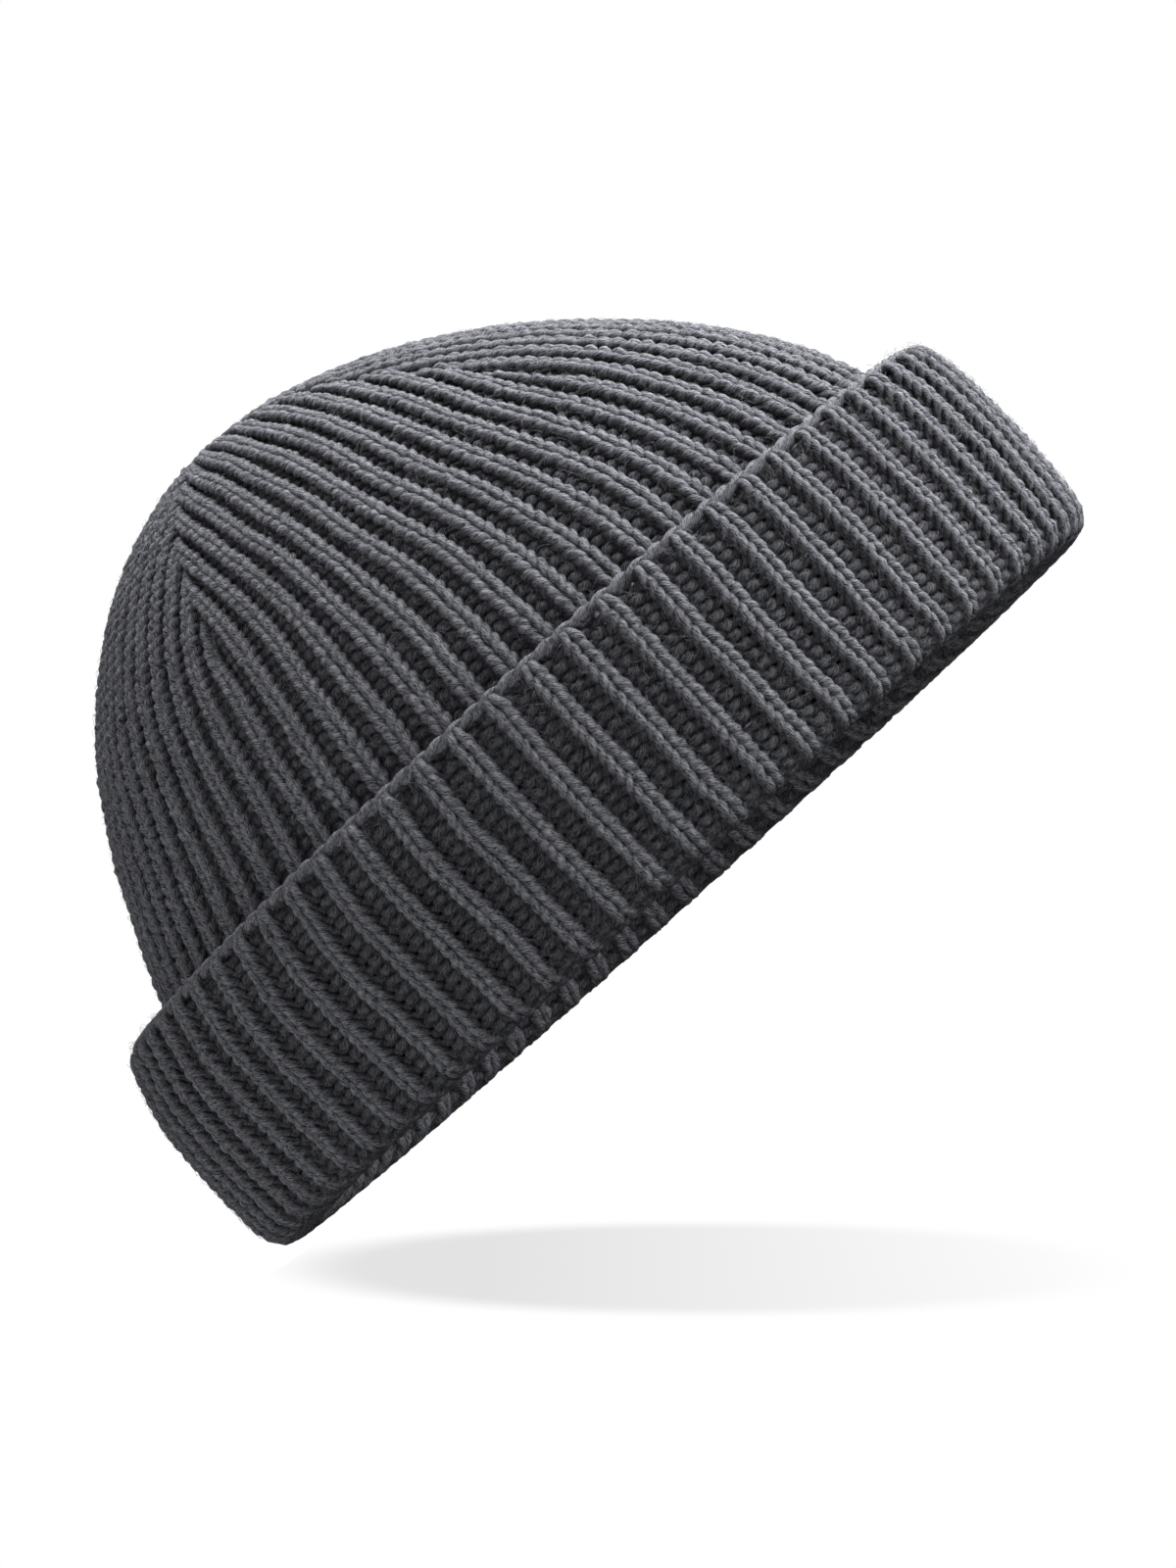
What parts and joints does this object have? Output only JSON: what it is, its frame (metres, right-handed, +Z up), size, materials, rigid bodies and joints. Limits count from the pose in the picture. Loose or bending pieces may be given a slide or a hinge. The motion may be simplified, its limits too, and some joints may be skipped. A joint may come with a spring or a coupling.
{
  "type": "knit beanie",
  "caption": "Rib-knit beanie with a deep turn-up cuff, a five-dart crown and a rolled fold that it stands on.",
  "frame": {"origin": "middle of the rim, on the plane of the fold's flat underside", "axes": "+Z up through the crown, +X towards the face side, -X the back with the seam"},
  "size_m": [0.2202, 0.2026, 0.13],
  "materials": {
    "rib_knit": "matte",
    "seam_yarn": "matte",
    "label_cloth": "matte"
  },
  "bodies": {
    "root": {"rim_fold": "rib_knit", "head_band": "rib_knit", "band_back_seam": "seam_yarn", "turn_up_cuff": "rib_knit", "cuff_back_seam": "seam_yarn", "cuff_cast_on_edge": "rib_knit", "crown_gore_front": "rib_knit", "crown_gore_left": "rib_knit", "crown_gore_back_left": "rib_knit", "crown_gore_back_right": "rib_knit", "crown_gore_right": "rib_knit", "dart_front_left": "seam_yarn", "dart_back_left": "seam_yarn", "dart_back": "seam_yarn", "dart_back_right": "seam_yarn", "dart_front_right": "seam_yarn", "crown_closure": "seam_yarn", "care_label": "label_cloth", "label_stitches": "label_cloth"}
  },
  "joints": []
}
